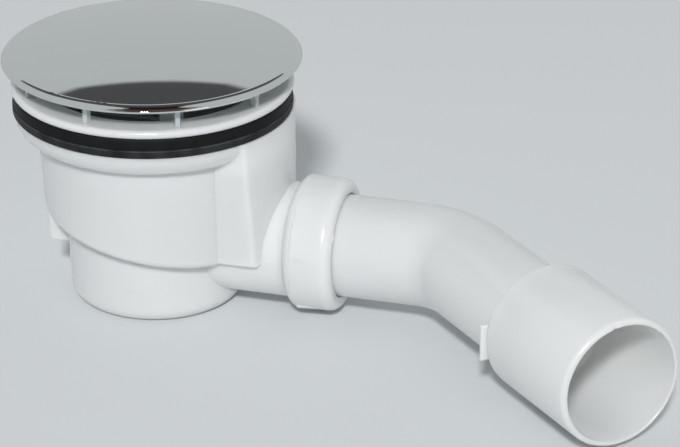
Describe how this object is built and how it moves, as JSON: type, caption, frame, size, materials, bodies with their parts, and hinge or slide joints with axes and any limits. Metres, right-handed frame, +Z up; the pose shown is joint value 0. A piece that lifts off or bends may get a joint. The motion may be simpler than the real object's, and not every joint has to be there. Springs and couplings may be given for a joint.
{
  "type": "shower drain",
  "caption": "Shower tray drain: domed chrome cover over an inlet slot, bottle trap with a removable dip tube, and a swivelling angled outlet pipe.",
  "frame": {"origin": "centre of the sump's flat base", "axes": "+Z up through the cover, +X along the outlet spigot, away from the trap"},
  "size_m": [0.2791, 0.1584, 0.1056],
  "materials": {
    "white_pp": "moulded white",
    "carrier_white": "moulded, slightly translucent",
    "chrome_plate": "bright plated",
    "black_rubber": "moulded rubber",
    "dip_tube_plastic": "moulded grey",
    "washer_plastic": "stiff plastic"
  },
  "bodies": {
    "trap": {"trap_body": "white_pp", "clamping_flange": "white_pp", "union_nut": "white_pp", "cover_carrier": "carrier_white", "cover_dome": "chrome_plate", "tray_gasket": "black_rubber", "flange_seal": "black_rubber", "cone_seal": "black_rubber", "dip_tube_o_ring": "black_rubber", "dip_tube": "dip_tube_plastic", "slip_washer": "washer_plastic"},
    "outlet": {"outlet_bend": "white_pp"}
  },
  "joints": [
    {"name": "outlet_swivel", "type": "hinge", "parent": "trap", "child": "outlet", "pos_m": [0.0705, 0, 0.0283], "axis": [1, 0, 0], "continuous": true}
  ]
}
